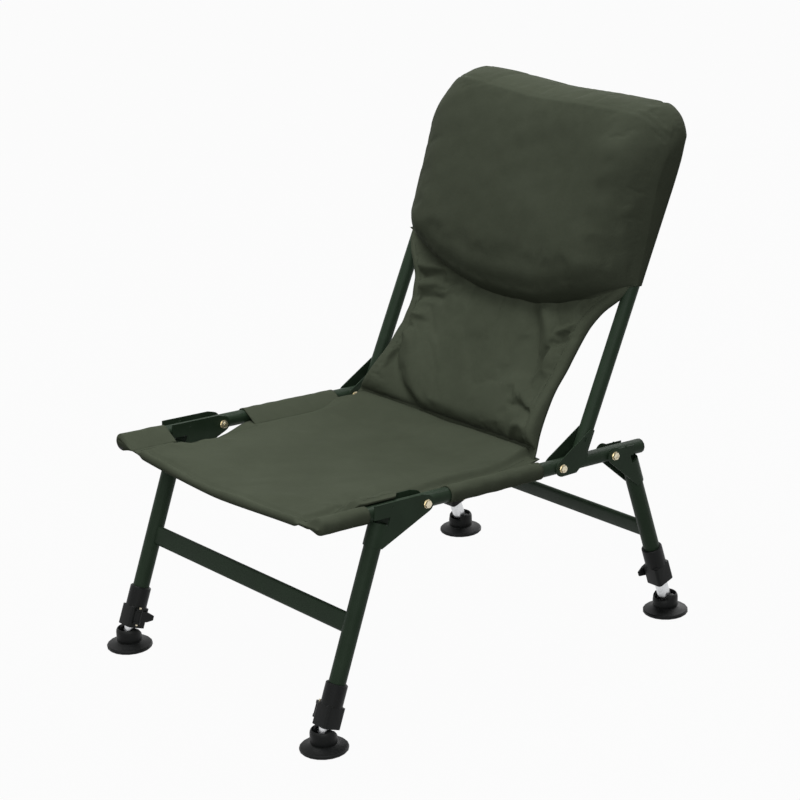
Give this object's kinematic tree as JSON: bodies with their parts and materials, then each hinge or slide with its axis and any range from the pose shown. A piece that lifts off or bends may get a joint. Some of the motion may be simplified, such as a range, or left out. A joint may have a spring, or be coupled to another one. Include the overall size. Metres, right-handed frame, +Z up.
{
  "type": "folding fishing chair",
  "caption": "Low folding fishing chair: slung padded seat between side rails, reclined backrest with a head pillow, folding leg frames with telescopic, tilting mud feet.",
  "frame": {"origin": "on the floor plane, under the middle of the overall box at rest", "axes": "+Z up, -Y the way the sitter faces, +X the sitter's left"},
  "size_m": [0.552, 0.7738, 0.8011],
  "materials": {
    "frame_paint": "satin dark green powder coat",
    "cloth": "woven dark olive polyester",
    "pillow_cloth": "woven dark olive polyester, darker",
    "plastic": "moulded black",
    "zinc": "yellow zinc plated",
    "silver": "satin bare tube"
  },
  "bodies": {
    "chair_frame": {"rail_left": "frame_paint", "rail_cap_front_left": "plastic", "rail_cap_rear_left": "plastic", "front_pivot_bolt_left": "zinc", "front_pivot_nut_left": "zinc", "rear_pivot_bolt_left": "zinc", "rear_pivot_nut_left": "zinc", "back_pivot_bolt_left": "zinc", "back_pivot_nut_left": "zinc", "rail_right": "frame_paint", "rail_cap_front_right": "plastic", "rail_cap_rear_right": "plastic", "front_pivot_bolt_right": "zinc", "front_pivot_nut_right": "zinc", "rear_pivot_bolt_right": "zinc", "rear_pivot_nut_right": "zinc", "back_pivot_bolt_right": "zinc", "back_pivot_nut_right": "zinc", "seat_pad": "cloth"},
    "front_legs": {"front_crossbar": "frame_paint", "front_leg_left": "frame_paint", "front_bracket_left": "frame_paint", "front_clamp_left": "plastic", "front_clamp_pin_left": "zinc", "front_leg_right": "frame_paint", "front_bracket_right": "frame_paint", "front_clamp_right": "plastic", "front_clamp_pin_right": "zinc"},
    "rear_legs": {"rear_crossbar": "frame_paint", "rear_leg_left": "frame_paint", "rear_bracket_left": "frame_paint", "rear_clamp_left": "plastic", "rear_clamp_pin_left": "zinc", "rear_leg_right": "frame_paint", "rear_bracket_right": "frame_paint", "rear_clamp_right": "plastic", "rear_clamp_pin_right": "zinc"},
    "backrest": {"back_tube": "frame_paint", "back_bracket_left": "frame_paint", "back_bracket_right": "frame_paint", "back_panel": "cloth", "head_pillow": "pillow_cloth"},
    "front_extension_left": {"front_inner_tube_left": "silver", "front_foot_pin_left": "zinc"},
    "front_foot_left": {"front_foot_left": "plastic"},
    "front_lever_left": {"front_clamp_lever_left": "plastic"},
    "front_extension_right": {"front_inner_tube_right": "silver", "front_foot_pin_right": "zinc"},
    "front_foot_right": {"front_foot_right": "plastic"},
    "front_lever_right": {"front_clamp_lever_right": "plastic"},
    "rear_extension_left": {"rear_inner_tube_left": "silver", "rear_foot_pin_left": "zinc"},
    "rear_foot_left": {"rear_foot_left": "plastic"},
    "rear_lever_left": {"rear_clamp_lever_left": "plastic"},
    "rear_extension_right": {"rear_inner_tube_right": "silver", "rear_foot_pin_right": "zinc"},
    "rear_foot_right": {"rear_foot_right": "plastic"},
    "rear_lever_right": {"rear_clamp_lever_right": "plastic"}
  },
  "joints": [
    {"name": "front_leg_fold", "type": "hinge", "parent": "chair_frame", "child": "front_legs", "pos_m": [0, -0.16252, 0.31689], "axis": [1, 0, 0], "range_deg": [0, 105]},
    {"name": "rear_leg_fold", "type": "hinge", "parent": "chair_frame", "child": "rear_legs", "pos_m": [0, 0.20267, 0.2925], "axis": [1, 0, 0], "range_deg": [-105, 0]},
    {"name": "backrest_fold", "type": "hinge", "parent": "chair_frame", "child": "backrest", "pos_m": [0, 0.0979, 0.2995], "axis": [1, 0, 0], "range_deg": [0, 95]},
    {"name": "front_slide_left", "type": "slide", "parent": "front_legs", "child": "front_extension_left", "axis": [0, 0.3681, 0.9298], "range_m": [-0.15, 0]},
    {"name": "front_foot_tilt_left", "type": "hinge", "parent": "front_extension_left", "child": "front_foot_left", "pos_m": [0.241, -0.35193, 0.0205], "axis": [1, 0, 0], "range_deg": [-20, 20]},
    {"name": "front_lever_turn_left", "type": "hinge", "parent": "front_legs", "child": "front_lever_left", "pos_m": [0.2215, -0.3451, 0.0527], "axis": [0, 0.3681, 0.9298], "range_deg": [0, 110]},
    {"name": "front_slide_right", "type": "slide", "parent": "front_legs", "child": "front_extension_right", "axis": [0, 0.3681, 0.9298], "range_m": [-0.15, 0]},
    {"name": "front_foot_tilt_right", "type": "hinge", "parent": "front_extension_right", "child": "front_foot_right", "pos_m": [-0.241, -0.35193, 0.0205], "axis": [1, 0, 0], "range_deg": [-20, 20]},
    {"name": "front_lever_turn_right", "type": "hinge", "parent": "front_legs", "child": "front_lever_right", "pos_m": [-0.2215, -0.3451, 0.0527], "axis": [0, -0.3681, -0.9298], "range_deg": [0, 110]},
    {"name": "rear_slide_left", "type": "slide", "parent": "rear_legs", "child": "rear_extension_left", "axis": [0, 0.2957, -0.9553], "range_m": [-0.024, 0.126]},
    {"name": "rear_foot_tilt_left", "type": "hinge", "parent": "rear_extension_left", "child": "rear_foot_left", "pos_m": [0.241, 0.3235, 0.0205], "axis": [1, 0, 0], "range_deg": [-20, 20]},
    {"name": "rear_lever_turn_left", "type": "hinge", "parent": "rear_legs", "child": "rear_lever_left", "pos_m": [0.2215, 0.3119, 0.07658], "axis": [0, 0.2957, -0.9553], "range_deg": [0, 110]},
    {"name": "rear_slide_right", "type": "slide", "parent": "rear_legs", "child": "rear_extension_right", "axis": [0, 0.2957, -0.9553], "range_m": [-0.024, 0.126]},
    {"name": "rear_foot_tilt_right", "type": "hinge", "parent": "rear_extension_right", "child": "rear_foot_right", "pos_m": [-0.241, 0.3235, 0.0205], "axis": [1, 0, 0], "range_deg": [-20, 20]},
    {"name": "rear_lever_turn_right", "type": "hinge", "parent": "rear_legs", "child": "rear_lever_right", "pos_m": [-0.2215, 0.3119, 0.07658], "axis": [0, -0.2957, 0.9553], "range_deg": [0, 110]}
  ]
}
